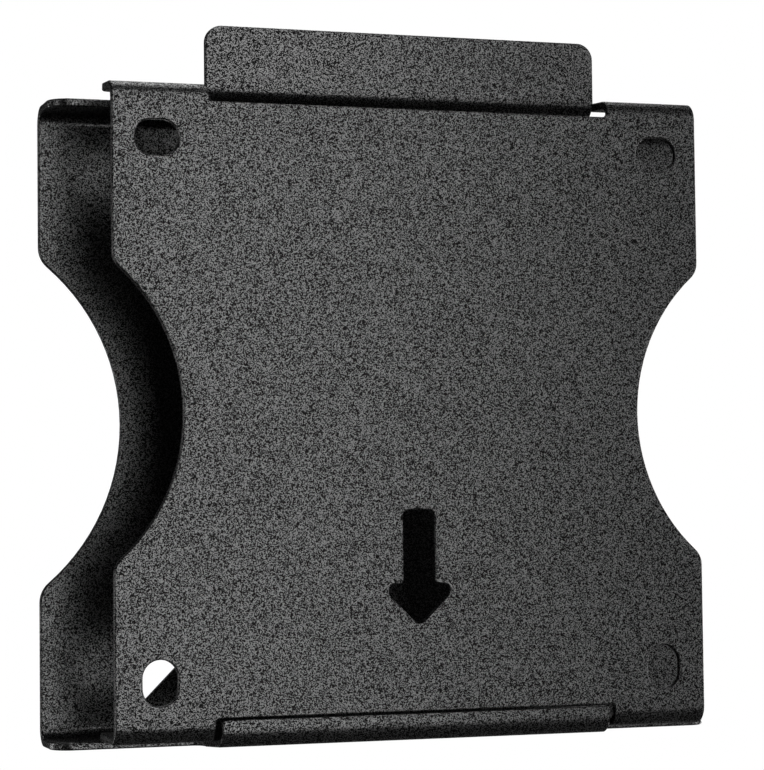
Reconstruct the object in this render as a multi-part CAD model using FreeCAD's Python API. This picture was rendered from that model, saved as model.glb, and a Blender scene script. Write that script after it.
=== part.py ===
# Tilting wall bracket for a small flat screen: two folded sheets of steel.
#
# The wall plate is a sheet folded into a C. In the middle its upper flange runs
# on as an arm that turns up into a tall hook, and its lower flange runs on as an
# arm that turns up into a low lip. The screen plate hangs on the upper arm,
# behind the hook, and swings about that seat until its lower flange meets the
# wall plate. The lip stands in a notch of the screen plate, flush with its face.
#
# Frame: millimetres. Origin at the middle of the wall plate's back face.
# +X to the viewer's right, +Y into the wall, +Z up.

import FreeCAD, Part
import math
import os

V = FreeCAD.Vector

# Sheet
sheet = 1.5             # thickness of both sheets
bend_inside = 2.0       # inside radius of every fold
bend_outside = bend_inside + sheet
edge_round = 0.3        # edges softened by the powder coat

# Wall plate
wall_width = 133.6
wall_height = 122.2
wall_flange = 13.5      # depth of both flanges, from the wall
wall_corner = 4.0       # rounded corners of the flanges, seen from above
wall_waist_radius = 39.6
wall_waist_depth = 15.8
wall_waist_corner = 5.0
root_round = 2.0        # inner corner where an arm leaves its flange
screw_slot_width = 6.4
screw_slot_length = 18.0
screw_side_margin = 22.6    # side edge to the middle of a wall screw slot
screw_end_margin = 14.8     # upper or lower skin to the middle of a wall screw slot

# How far the screen plate's face stands from the wall
reach = 29.5

# Upper arm and hook, one strip
hook_width = 78.6
hook_setback = 5.7      # the hook's front, behind the screen plate's face
hook_top = 74.3
hook_corner = 3.2

# Lower arm and lip, one strip
arm_rise = 0.9          # the lower arm climbs this much towards its lip
arm_slope_start = 3.0   # the climb starts this far in front of the flange
lip_width = 77.0
lip_height = 5.0
lip_corner = 0.8

# Screen plate
screen_width = 117.0
screen_flange_top = 10.0    # depth of the upper flange, from the face
flange_climb = 4.0          # degrees by which the upper flange rises to the rear
screen_flange_corner = 2.0
screen_waist_radius = 35.7
screen_waist_depth = 13.2
screen_waist_corner = 4.0
screen_waist_rise = 1.2     # middle of its waists, above the middle of the wall plate's
tilt = 6.0                  # degrees by which the plate's bottom swings to the wall

# Screen bolt slots: with these margins they lie on the common square of 100 mm
bolt_side_margin = 8.5      # side edge to the middle of a slot
bolt_top_margin = 9.2       # top of the wall plate down to the middle of an upper slot
bolt_bottom_margin = 11.2   # lower skin up to the middle of a lower slot
bolt_slot_width = 6.7
bolt_slot_length = 8.5

# Arrow cut through the screen plate, pointing down
arrow_top_z = -17.1
arrow_length = 21.8
arrow_shaft_width = 6.3
arrow_head_width = 12.2
arrow_head_length = 7.9
arrow_round = 1.2           # outer corners
arrow_neck_round = 0.8      # inner corners, where the shaft meets the head
arrow_wing_edge = 1.6       # upright edge at each end of the head, in outer corner radii

# Clearances
seat_gap = 0.3          # screen plate to the arm that carries it; half of it to the fold of the hook
hook_side_gap = 0.7     # each side of the hook, in the upper notch
lip_side_gap = 1.2      # each side of the lip, in the lower notch
lip_top_gap = 0.3       # lip to the upper edge of the lower notch
hook_front_drop = 0.6   # upper notch's edge, below the underside of the arm
flange_gap = 0.3        # screen plate's lower flange to the wall plate's
tilt_gap = 0.42         # screen plate's lower flange to the wall plate, at full tilt
notch_round = 1.0

# Places worked out from the sizes above
wall_top = wall_height / 2
wall_bottom = -wall_height / 2
face_y = -reach
hook_front_y = face_y + hook_setback
hook_back_y = hook_front_y + sheet
seat_back = bend_inside - math.sqrt(bend_inside * seat_gap - 0.75 * seat_gap ** 2)     # from the hook's back
seat_y = hook_back_y + seat_back            # the seat, about which the screen plate swings
seat_z = wall_top + seat_gap
climb = math.tan(math.radians(flange_climb))
flange_skin = sheet / math.cos(math.radians(flange_climb))
screen_top = seat_z + flange_skin - (seat_y - face_y) * climb
screen_bottom = wall_bottom + sheet + flange_gap
swing = (seat_z - screen_bottom) * math.sin(math.radians(tilt))
flange_reach = (-sheet - tilt_gap - seat_y - swing) / math.cos(math.radians(tilt))
screen_flange_bottom = seat_y - face_y + flange_reach   # depth of the lower flange, from the face
lip_bottom = wall_bottom + arm_rise
lip_top = lip_bottom + lip_height
upper_notch_z = wall_top - sheet - hook_front_drop
lower_notch_z = lip_top + lip_top_gap
bolt_upper_z = wall_top - bolt_top_margin
bolt_lower_z = screen_bottom + bolt_bottom_margin
bolt_pitch_x = screen_width - 2 * bolt_side_margin
bolt_pitch_z = bolt_upper_z - bolt_lower_z
far = 400.0             # longer than any cut needs
same = 0.01             # two places closer than this are one


def unit(a, b):
    length = math.hypot(b[0] - a[0], b[1] - a[1])
    return ((b[0] - a[0]) / length, (b[1] - a[1]) / length)


def rounded_chain(points, radii, lift):
    """Edges along a line of 2D points, with its inner corners rounded."""
    edges = []
    start = points[0]
    for i in range(1, len(points) - 1):
        corner = points[i]
        before = unit(points[i - 1], corner)
        after = unit(corner, points[i + 1])
        turn = math.acos(max(-1.0, min(1.0, before[0] * after[0] + before[1] * after[1])))
        reach_back = radii[i - 1] * math.tan(turn / 2)
        p = (corner[0] - before[0] * reach_back, corner[1] - before[1] * reach_back)
        q = (corner[0] + after[0] * reach_back, corner[1] + after[1] * reach_back)
        bisector = unit((0, 0), (after[0] - before[0], after[1] - before[1]))
        sag = radii[i - 1] * (1 / math.cos(turn / 2) - 1)
        m = (corner[0] + bisector[0] * sag, corner[1] + bisector[1] * sag)
        edges.append(Part.LineSegment(lift(start), lift(p)).toShape())
        edges.append(Part.Arc(lift(p), lift(m), lift(q)).toShape())
        start = q
    edges.append(Part.LineSegment(lift(start), lift(points[-1])).toShape())
    return edges


def rounded_face(points, radii, lift):
    """A closed flat face from 2D corner points, each rounded by its radius."""
    middle = ((points[0][0] + points[-1][0]) / 2, (points[0][1] + points[-1][1]) / 2)
    chain = [middle] + list(points) + [middle]
    return Part.Face(Part.Wire(rounded_chain(chain, radii, lift)))


def folded(path, width):
    """A folded strip: path is the (y, z) line of one skin, the metal lies to its left."""
    normals = []
    for a, b in zip(path, path[1:]):
        d = unit(a, b)
        normals.append((-d[1], d[0]))
    other = [(path[0][0] + normals[0][0] * sheet, path[0][1] + normals[0][1] * sheet)]
    skin_radii = []
    other_radii = []
    for i in range(1, len(path) - 1):
        n, m = normals[i - 1], normals[i]
        scale = sheet / (1 + n[0] * m[0] + n[1] * m[1])
        other.append((path[i][0] + (n[0] + m[0]) * scale, path[i][1] + (n[1] + m[1]) * scale))
        left_turn = n[0] * m[1] - n[1] * m[0] > 0
        skin_radii.append(bend_outside if left_turn else bend_inside)
        other_radii.append(bend_inside if left_turn else bend_outside)
    other.append((path[-1][0] + normals[-1][0] * sheet, path[-1][1] + normals[-1][1] * sheet))

    def lift(p):
        return V(-width / 2, p[0], p[1])

    skin = rounded_chain(path, skin_radii, lift)
    back = rounded_chain(other[::-1], other_radii[::-1], lift)
    ends = [Part.LineSegment(lift(path[-1]), lift(other[-1])).toShape(),
            Part.LineSegment(lift(other[0]), lift(path[0])).toShape()]
    return Part.Face(Part.Wire(skin + ends[:1] + back + ends[1:])).extrude(V(width, 0, 0))


def through_y(face):
    """Turns a face in the plane y = -far into a cut along the whole depth."""
    return face.extrude(V(0, 2 * far, 0))


def front_lift(p):
    return V(p[0], -far, p[1])


def slot(x, z, width, length, angle):
    """An oblong hole through the sheet; angle is its long axis against +X."""
    straight = length - width
    box = Part.makeBox(straight, 2 * far, width, V(-straight / 2, -far, -width / 2))
    ends = [Part.makeCylinder(width / 2, 2 * far, V(side * straight / 2, -far, 0), V(0, 1, 0)) for side in (-1, 1)]
    shape = box.fuse(ends).removeSplitter()
    shape.rotate(V(0, 0, 0), V(0, -1, 0), angle)
    shape.translate(V(x, 0, z))
    return shape


def waist_cut(side, half_width, middle_z, radius, depth, corner):
    """The round bite out of one side edge, with its two outer corners eased."""
    centre_x = half_width - depth + radius
    reach_z = math.sqrt((radius + corner) ** 2 - (centre_x - half_width + corner) ** 2)
    ease_x = half_width - corner
    touch = corner / (radius + corner)
    touch_x = ease_x + (centre_x - ease_x) * touch
    touch_z = reach_z * (1 - touch)
    mid_angle = math.atan2(touch_z - reach_z, touch_x - ease_x) / 2

    def at(x, z):
        return V(side * x, -far, middle_z + z)

    def ease(sign):
        middle = at(ease_x + corner * math.cos(mid_angle), sign * (reach_z + corner * math.sin(mid_angle)))
        return Part.Arc(at(half_width, sign * reach_z), middle, at(touch_x, sign * touch_z)).toShape()

    outside = half_width + corner
    edges = [
        ease(1),
        Part.Arc(at(touch_x, touch_z), at(centre_x - radius, 0), at(touch_x, -touch_z)).toShape(),
        ease(-1),
        Part.LineSegment(at(half_width, -reach_z), at(outside, -reach_z)).toShape(),
        Part.LineSegment(at(outside, -reach_z), at(outside, reach_z)).toShape(),
        Part.LineSegment(at(outside, reach_z), at(half_width, reach_z)).toShape(),
    ]
    return through_y(Part.Face(Part.Wire(Part.__sortEdges__(edges))))


def arrow_cut():
    """The downward arrow, with every corner eased."""
    tip = arrow_top_z - arrow_length
    neck = tip + arrow_head_length
    shoulder = neck - arrow_round * arrow_wing_edge
    shaft = arrow_shaft_width / 2
    wing = arrow_head_width / 2
    points = [(shaft, arrow_top_z), (shaft, neck), (wing, neck), (wing, shoulder), (0, tip),
              (-wing, shoulder), (-wing, neck), (-shaft, neck), (-shaft, arrow_top_z)]
    radii = [arrow_neck_round if abs(x) == shaft and z == neck else arrow_round for x, z in points]
    return through_y(rounded_face(points, radii, front_lift))


def round_corners(solid, radius, across, at_across, along, at_along, near=same):
    """Rounds the corners of the sheet at +-at_across on one axis and at_along on another."""
    corners = []
    for edge in solid.Edges:
        ends = [vertex.Point for vertex in edge.Vertexes]
        one_side = abs(getattr(ends[0], across) - getattr(ends[-1], across)) < same
        in_place = all(abs(abs(getattr(p, across)) - at_across) < same and abs(getattr(p, along) - at_along) < near
                       for p in ends)
        if one_side and in_place:
            corners.append(edge)
    return solid.makeFillet(radius, corners)


def soften(solid):
    """Eases the rims of the sheet: every edge between a skin and a cut side."""
    rims = []
    for edge in solid.Edges:
        faces = solid.ancestorsOfType(edge, Part.Face)
        middle = edge.valueAt((edge.FirstParameter + edge.LastParameter) / 2)
        normals = [face.normalAt(*face.Surface.parameter(middle)) for face in faces]
        if len(faces) == 2 and abs(normals[0].dot(normals[1])) < 0.5:
            rims.append(edge)
    return solid.makeFillet(edge_round, rims)


def wall_plate():
    """The C-shaped wall plate with its hook, its lip and its wall screw slots."""
    front_y = -wall_flange
    root_y = front_y / 2
    slope_y = front_y - arm_slope_start
    shell = folded([(front_y, wall_bottom), (0, wall_bottom), (0, wall_top), (front_y, wall_top)], wall_width)
    hook = folded([(root_y, wall_top), (hook_back_y, wall_top), (hook_back_y, hook_top)], hook_width)
    arm = folded([(face_y, lip_top), (face_y, lip_bottom), (slope_y, wall_bottom), (root_y, wall_bottom)], lip_width)
    plate = shell.fuse([hook, arm]).removeSplitter()
    plate = round_corners(plate, root_round, "x", hook_width / 2, "y", front_y)
    plate = round_corners(plate, root_round, "x", lip_width / 2, "y", front_y)
    plate = round_corners(plate, wall_corner, "x", wall_width / 2, "y", front_y)
    plate = round_corners(plate, hook_corner, "x", hook_width / 2, "z", hook_top)
    plate = round_corners(plate, lip_corner, "x", lip_width / 2, "z", lip_top)
    for side in (-1, 1):
        plate = plate.cut(waist_cut(side, wall_width / 2, 0, wall_waist_radius, wall_waist_depth, wall_waist_corner))
        for level in (-1, 1):
            x = side * (wall_width / 2 - screw_side_margin)
            z = level * (wall_height / 2 - screw_end_margin)
            plate = plate.cut(slot(x, z, screw_slot_width, screw_slot_length, 45 * side * level))
    return soften(plate.Solids[0])


def screen_plate():
    """The plate that is bolted to the screen and hangs on the wall plate."""
    top_rear = (face_y + screen_flange_top, screen_top + screen_flange_top * climb)
    bottom_rear = (face_y + screen_flange_bottom, screen_bottom)
    plate = folded([top_rear, (face_y, screen_top), (face_y, screen_bottom), bottom_rear], screen_width)
    upper_half = hook_width / 2 + hook_side_gap
    lower_half = lip_width / 2 + lip_side_gap
    plate = plate.cut(Part.makeBox(2 * upper_half, seat_y - face_y + 1, far, V(-upper_half, face_y - 1, upper_notch_z)))
    plate = plate.cut(Part.makeBox(2 * lower_half, far, far, V(-lower_half, face_y - 1, lower_notch_z - far)))
    plate = round_corners(plate, notch_round, "x", upper_half, "z", upper_notch_z)
    plate = round_corners(plate, notch_round, "x", upper_half, "y", seat_y)
    plate = round_corners(plate, notch_round, "x", lower_half, "z", lower_notch_z)
    plate = round_corners(plate, screen_flange_corner, "x", lower_half, "y", bottom_rear[0])
    plate = round_corners(plate, screen_flange_corner, "x", screen_width / 2, "y", bottom_rear[0])
    plate = round_corners(plate, screen_flange_corner, "x", screen_width / 2, "y", top_rear[0], sheet * climb)
    for side in (-1, 1):
        plate = plate.cut(waist_cut(side, screen_width / 2, screen_waist_rise, screen_waist_radius, screen_waist_depth,
                                    screen_waist_corner))
        x = side * bolt_pitch_x / 2
        plate = plate.cut(slot(x, bolt_upper_z, bolt_slot_width, bolt_slot_length, 0))
        plate = plate.cut(slot(x, bolt_lower_z, bolt_slot_width, bolt_slot_length, 90))
    plate = plate.cut(arrow_cut())
    return soften(plate.Solids[0])


print("bolt slots: square of", round(bolt_pitch_x, 3), "x", round(bolt_pitch_z, 3), "middle at z",
      round((bolt_upper_z + bolt_lower_z) / 2, 3), "lower flange", round(screen_flange_bottom, 3))
os.makedirs("parts", exist_ok=True)
for name, shape in (("wall_plate", wall_plate()), ("screen_plate", screen_plate())):
    box = shape.BoundBox
    print(name, "valid", shape.isValid(), "solids", len(shape.Solids), "volume", round(shape.Volume),
          "y", round(box.YMin, 2), round(box.YMax, 2), "z", round(box.ZMin, 2), round(box.ZMax, 2))
    shape.exportStep("parts/" + name + ".step")
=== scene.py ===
import bpy
import math
from mathutils import Matrix

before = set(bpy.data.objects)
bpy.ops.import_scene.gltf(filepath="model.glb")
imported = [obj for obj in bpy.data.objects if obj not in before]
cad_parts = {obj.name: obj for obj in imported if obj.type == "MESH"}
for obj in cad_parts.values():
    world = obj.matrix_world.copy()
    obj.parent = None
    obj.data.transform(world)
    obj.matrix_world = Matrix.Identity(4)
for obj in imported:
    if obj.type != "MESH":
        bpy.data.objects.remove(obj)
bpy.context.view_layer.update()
print("loaded:", ", ".join(sorted(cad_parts)))

# the powder coat that both sheets share, with lengths in metres
coat = {
    "grainSize": 0.000165,    # one grain of cured powder
    "grainEdge": 0.75,        # where a grain's dome ends, in grains
    "grainTop": 0.15,         # where it is flat on top, in grains
    "glossShare": 0.40,       # how many of the grains are glossy
    "glossFade": 0.08,        # how softly the glossy ones part from the dull ones
    "cloudSize": 0.035,       # slow changes of tone over a sheet
    "cloudShare": 0.10,
    "cloudMiddle": 0.5,       # the cloud's mean, which leaves the tone as it is
    "cloudDetail": 2.0,
    "rimSamples": 8,
    "rimTurn": 0.86,          # cosine of the turn at which a rim is at its full
}


def newGroup(name, inputs, outputs):
    group = bpy.data.node_groups.new(name, "ShaderNodeTree")
    for label, kind in inputs:
        group.interface.new_socket(label, in_out="INPUT", socket_type=kind)
    for label, kind in outputs:
        group.interface.new_socket(label, in_out="OUTPUT", socket_type=kind)
    return group, group.nodes.new("NodeGroupInput"), group.nodes.new("NodeGroupOutput")


def mathNode(tree, operation, a, b, clamp=False):
    node = tree.nodes.new("ShaderNodeMath")
    node.operation = operation
    node.use_clamp = clamp
    for slotIndex, value in enumerate((a, b)):
        if hasattr(value, "is_output"):
            tree.links.new(value, node.inputs[slotIndex])
        else:
            node.inputs[slotIndex].default_value = value
    return node.outputs[0]


def spread(tree, value, low, high, toLow=0.0, toHigh=1.0):
    node = tree.nodes.new("ShaderNodeMapRange")
    node.inputs["From Min"].default_value = low
    node.inputs["From Max"].default_value = high
    node.inputs["To Min"].default_value = toLow
    node.inputs["To Max"].default_value = toHigh
    tree.links.new(value, node.inputs["Value"])
    return node.outputs["Result"]


def grainGroup():
    # grains of cured powder: small domes, each of them glossy or dull
    group, given, result = newGroup(
        "powderGrain",
        [
            ("Vector", "NodeSocketVector"),
            ("Grain Size", "NodeSocketFloat"),
            ("Gloss Share", "NodeSocketFloat"),
        ],
        [("Height", "NodeSocketFloat"), ("Gloss", "NodeSocketFloat")],
    )
    links = group.links
    grains = group.nodes.new("ShaderNodeTexVoronoi")
    links.new(given.outputs["Vector"], grains.inputs["Vector"])
    scale = mathNode(group, "DIVIDE", 1.0, given.outputs["Grain Size"])
    links.new(scale, grains.inputs["Scale"])
    dome = spread(group, grains.outputs["Distance"], coat["grainEdge"], coat["grainTop"])
    links.new(dome, result.inputs["Height"])

    draw = group.nodes.new("ShaderNodeSeparateColor")    # one random number for each grain
    links.new(grains.outputs["Color"], draw.inputs["Color"])
    chance = mathNode(group, "SUBTRACT", given.outputs["Gloss Share"], draw.outputs["Red"])
    gloss = spread(group, chance, -coat["glossFade"], coat["glossFade"])
    links.new(gloss, result.inputs["Gloss"])
    return group


def glintToneGroup():
    # the coat's colour: low to high by the tone, where the glossy grains get the high colour
    # as a painted glint, and a slow random cloud over the sheet
    group, given, result = newGroup(
        "coatToneWithPaintedGlint",
        [
            ("Vector", "NodeSocketVector"),
            ("Tone", "NodeSocketFloat"),
            ("Cloud Size", "NodeSocketFloat"),
            ("Cloud Share", "NodeSocketFloat"),
            ("Low", "NodeSocketColor"),
            ("High", "NodeSocketColor"),
        ],
        [("Color", "NodeSocketColor")],
    )
    links = group.links
    cloud = group.nodes.new("ShaderNodeTexNoise")
    cloud.inputs["Detail"].default_value = coat["cloudDetail"]
    links.new(given.outputs["Vector"], cloud.inputs["Vector"])
    scale = mathNode(group, "DIVIDE", 1.0, given.outputs["Cloud Size"])
    links.new(scale, cloud.inputs["Scale"])
    balanced = mathNode(group, "SUBTRACT", cloud.outputs["Fac"], coat["cloudMiddle"])
    drift = mathNode(group, "MULTIPLY", balanced, given.outputs["Cloud Share"])
    share = mathNode(group, "ADD", given.outputs["Tone"], drift, clamp=True)

    blend = group.nodes.new("ShaderNodeMix")
    blend.data_type = "RGBA"
    links.new(share, blend.inputs["Factor"])
    links.new(given.outputs["Low"], blend.inputs["A"])
    links.new(given.outputs["High"], blend.inputs["B"])
    links.new(blend.outputs["Result"], result.inputs["Color"])
    return group


def rimGroup():
    # the coat rounds a cut edge: a rounded normal there, and how close the edge is
    group, given, result = newGroup(
        "rimRound",
        [("Width", "NodeSocketFloat")],
        [("Normal", "NodeSocketVector"), ("Rim", "NodeSocketFloat")],
    )
    links = group.links
    shape = group.nodes.new("ShaderNodeNewGeometry")
    rounded = group.nodes.new("ShaderNodeBevel")
    rounded.samples = coat["rimSamples"]
    links.new(given.outputs["Width"], rounded.inputs["Radius"])
    turn = group.nodes.new("ShaderNodeVectorMath")
    turn.operation = "DOT_PRODUCT"
    links.new(rounded.outputs["Normal"], turn.inputs[0])
    links.new(shape.outputs["Normal"], turn.inputs[1])
    links.new(rounded.outputs["Normal"], result.inputs["Normal"])
    links.new(spread(group, turn.outputs["Value"], 1.0, coat["rimTurn"]), result.inputs["Rim"])
    return group


groups = {"grain": grainGroup(), "tone": glintToneGroup(), "rim": rimGroup()}


def place(tree, group, **values):
    node = tree.nodes.new("ShaderNodeGroup")
    node.node_tree = groups[group]
    for label, value in values.items():
        node.inputs[label.replace("_", " ")].default_value = value
    return node


def powderCoat(name, look):
    # a dull ground, with a varnish on the glossy grains alone
    material = bpy.data.materials.new(name)
    material.use_nodes = True
    tree = material.node_tree
    links = tree.links
    shader = tree.nodes["Principled BSDF"]
    where = tree.nodes.new("ShaderNodeTexCoord").outputs["Object"]

    grain = place(tree, "grain", Grain_Size=coat["grainSize"], Gloss_Share=coat["glossShare"])
    links.new(where, grain.inputs["Vector"])
    gloss = grain.outputs["Gloss"]

    tone = place(
        tree, "tone", Cloud_Size=coat["cloudSize"], Cloud_Share=coat["cloudShare"],
        Low=look["low"], High=look["high"],
    )
    links.new(where, tone.inputs["Vector"])
    # the gloss mask sets the tone: the lighter colour of the glossy grains is a painted glint
    # on top of their real varnish
    links.new(gloss, tone.inputs["Tone"])
    links.new(tone.outputs["Color"], shader.inputs["Base Color"])

    rim = place(tree, "rim", Width=look["rimWidth"])
    rough = spread(tree, gloss, 0.0, 1.0, look["roughDull"], look["roughGlossy"])
    shine = mathNode(tree, "MULTIPLY", rim.outputs["Rim"], look["rimShine"])
    links.new(mathNode(tree, "SUBTRACT", rough, shine, clamp=True), shader.inputs["Roughness"])
    shader.inputs["Specular IOR Level"].default_value = look["specular"]

    varnish = spread(tree, gloss, 0.0, 1.0, look["varnishDull"], look["varnishGlossy"])
    links.new(varnish, shader.inputs["Coat Weight"])
    shader.inputs["Coat Roughness"].default_value = look["varnishRough"]
    shader.inputs["Coat IOR"].default_value = look["varnishIor"]

    bump = tree.nodes.new("ShaderNodeBump")
    bump.inputs["Strength"].default_value = look["bump"]
    bump.inputs["Distance"].default_value = look["depth"]
    links.new(grain.outputs["Height"], bump.inputs["Height"])
    links.new(rim.outputs["Normal"], bump.inputs["Normal"])
    links.new(bump.outputs["Normal"], shader.inputs["Normal"])
    return material


sheets = {
    "screen_plate": {
        # high is the colour of the glossy grains, lighter than low as a painted glint
        "low": (0.0015, 0.0015, 0.0015, 1), "high": (0.006, 0.006, 0.0061, 1),
        "roughDull": 0.80, "roughGlossy": 0.50, "specular": 0.02,
        "varnishDull": 0.02, "varnishGlossy": 1.0, "varnishRough": 0.33, "varnishIor": 1.74,
        "rimWidth": 0.0006, "rimShine": 0.06,
        "bump": 1.0, "depth": 0.000008,
    },
    "wall_plate": {
        # high is the colour of the glossy grains, lighter than low as a painted glint
        "low": (0.0015, 0.0015, 0.0015, 1), "high": (0.006, 0.006, 0.0061, 1),
        "roughDull": 0.80, "roughGlossy": 0.50, "specular": 0.02,
        "varnishDull": 0.02, "varnishGlossy": 1.0, "varnishRough": 0.30, "varnishIor": 1.74,
        "rimWidth": 0.0006, "rimShine": 0.06,
        "bump": 1.0, "depth": 0.000008,
    },
}

for name, look in sheets.items():
    material = powderCoat(name + "Coat", look)
    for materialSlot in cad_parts[name].material_slots:
        materialSlot.material = material
    print("coated:", name)

# floor, backdrop and sky: white to the camera, and dim to the rays that light the sheets
studio = {
    "floorZ": -0.80, "floorSize": 12.0,
    "backdropAt": (1.05, 1.9, 0.35), "backdropSize": 2.2, "backdropTurn": 90,
    "paintColor": (0.10, 0.10, 0.10, 1), "paintRough": 0.9,
    "skyColor": (1.0, 1.0, 1.0, 1), "skyStrength": 0.006,
}


def mixByRay(tree, rays, plain, bright, target):
    # the bright shader for the named kinds of ray, the plain one for the rest
    links = tree.links
    path = tree.nodes.new("ShaderNodeLightPath")
    share = path.outputs[rays[0]]
    for ray in rays[1:]:
        share = mathNode(tree, "MAXIMUM", share, path.outputs[ray])
    mixed = tree.nodes.new("ShaderNodeMixShader")
    links.new(share, mixed.inputs[0])
    links.new(plain, mixed.inputs[1])
    links.new(bright, mixed.inputs[2])
    links.new(mixed.outputs[0], target)


def stagePlane(name, size, at, turn, rays):
    bpy.ops.object.select_all(action="DESELECT")
    bpy.ops.mesh.primitive_plane_add(size=size, location=at, rotation=turn)
    plane = bpy.context.object
    plane.name = name
    material = bpy.data.materials.new(name + "Paint")
    material.use_nodes = True
    tree = material.node_tree
    paint = tree.nodes["Principled BSDF"]
    paint.inputs["Base Color"].default_value = studio["paintColor"]
    paint.inputs["Roughness"].default_value = studio["paintRough"]
    white = tree.nodes.new("ShaderNodeEmission")
    surface = tree.nodes["Material Output"].inputs["Surface"]
    mixByRay(tree, rays, paint.outputs[0], white.outputs[0], surface)
    plane.data.materials.append(material)


stagePlane(
    "floor", studio["floorSize"], (0, 0, studio["floorZ"]), (0, 0, 0),
    ["Is Camera Ray"],
)
stagePlane(
    "backdrop", studio["backdropSize"], studio["backdropAt"],
    (math.radians(studio["backdropTurn"]), 0, 0),
    ["Is Camera Ray", "Is Glossy Ray", "Is Transmission Ray"],
)

world = bpy.data.worlds.new("studioWorld")
world.use_nodes = True
bpy.context.scene.world = world
worldTree = world.node_tree
dimSky = worldTree.nodes["Background"]
dimSky.inputs["Color"].default_value = studio["skyColor"]
dimSky.inputs["Strength"].default_value = studio["skyStrength"]
whiteSky = worldTree.nodes.new("ShaderNodeBackground")
whiteSky.inputs["Color"].default_value = studio["skyColor"]
skyOutput = worldTree.nodes["World Output"].inputs["Surface"]
mixByRay(worldTree, ["Is Camera Ray"], dimSky.outputs[0], whiteSky.outputs[0], skyOutput)
print("studio: floor, backdrop and sky")

# softboxes: place and size in metres, power in watts
lamps = {
    "frontSoftbox": {"at": (0.15, -1.17, 0.31), "size": (0.62, 2.14), "power": 18.6},
    "sideSoftbox": {"at": (1.35, -0.52, 0.15), "size": (1.0, 1.4), "power": 14.0},
    "sideSoftboxLeft": {"at": (-1.40, -0.45, 0.15), "size": (0.8, 1.4), "power": 8.0},
    "topSoftbox": {"at": (0.05, 0.50, 1.12), "size": (0.90, 0.95), "power": 10.5},
    "rearSoftbox": {"at": (1.40, 1.15, -0.25), "size": (1.2, 1.0), "power": 14.0},
    "rearSoftboxLeft": {"at": (-1.50, 1.10, -0.25), "size": (1.1, 1.0), "power": 14.0},
}

for name, lamp in lamps.items():
    bpy.ops.object.light_add(type="AREA", location=lamp["at"])
    light = bpy.context.object
    light.name = name
    light.data.shape = "RECTANGLE"
    light.data.size, light.data.size_y = lamp["size"]
    light.data.energy = lamp["power"]
    light.visible_camera = False
    toBracket = -light.location    # the bracket's wall face has its middle at the origin
    light.rotation_euler = toBracket.to_track_quat("-Z", "Y").to_euler()
print("lamps:", ", ".join(lamps))

# the camera, at the photograph's place: metres, degrees and millimetres
shot = {
    "place": (-0.1557, -0.48015, -0.0172), "yaw": 18.255, "pitch": 2.852, "roll": -0.65,
    "lens": 118.98, "sensor": 36.0, "nearest": 0.01,
}

bpy.ops.object.camera_add(location=shot["place"])
camera = bpy.context.object
turn = (
    Matrix.Rotation(math.radians(-shot["yaw"]), 4, "Z")
    @ Matrix.Rotation(math.radians(90 + shot["pitch"]), 4, "X")
    @ Matrix.Rotation(math.radians(shot["roll"]), 4, "Z")
)
camera.rotation_euler = turn.to_euler()
camera.data.sensor_fit = "HORIZONTAL"
camera.data.sensor_width = shot["sensor"]
camera.data.lens = shot["lens"]
camera.data.clip_start = shot["nearest"]
bpy.context.scene.camera = camera
bpy.context.scene.view_settings.view_transform = "Standard"
print("camera set")
